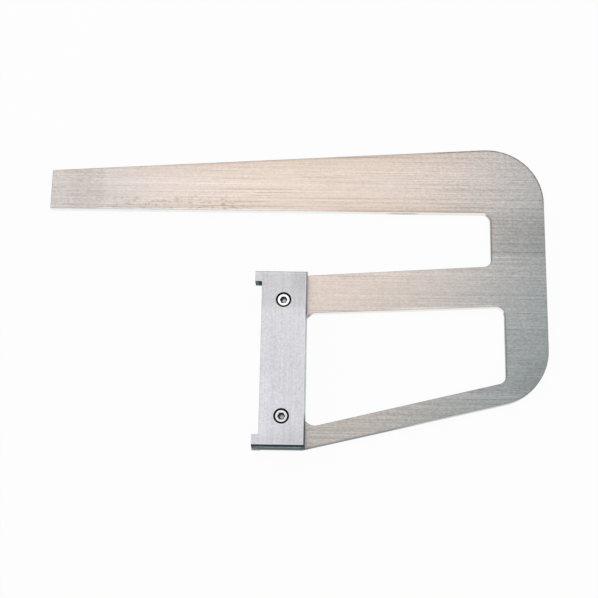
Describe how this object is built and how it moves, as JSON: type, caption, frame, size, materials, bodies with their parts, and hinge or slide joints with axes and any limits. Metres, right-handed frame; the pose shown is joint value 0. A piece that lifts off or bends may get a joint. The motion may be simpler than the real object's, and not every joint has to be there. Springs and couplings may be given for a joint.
{
  "type": "flange angle gauge",
  "caption": "Flat steel gauge: a block with two contact feet carries a closed frame, whose long tapered blade runs square to the feet as a measuring edge.",
  "frame": {"origin": "middle of the gauge's outline, on the plane of the plate's back, on which it lies", "axes": "+X along the measuring edge, away from the side that the feet point to; +Y up the base, from the strut to the blade; +Z out of the front, where the screw heads are"},
  "size_m": [0.314, 0.1958, 0.014],
  "materials": {
    "plate_steel": "brushed along the blade",
    "base_steel": "satin, finely ground",
    "screw_steel": "bright",
    "pin_steel": "ground"
  },
  "bodies": {
    "root": {"gauge_plate": "plate_steel", "base_block": "base_steel", "upper_cap_screw": "screw_steel", "lower_cap_screw": "screw_steel", "upper_dowel_pin": "pin_steel", "lower_dowel_pin": "pin_steel"}
  },
  "joints": []
}
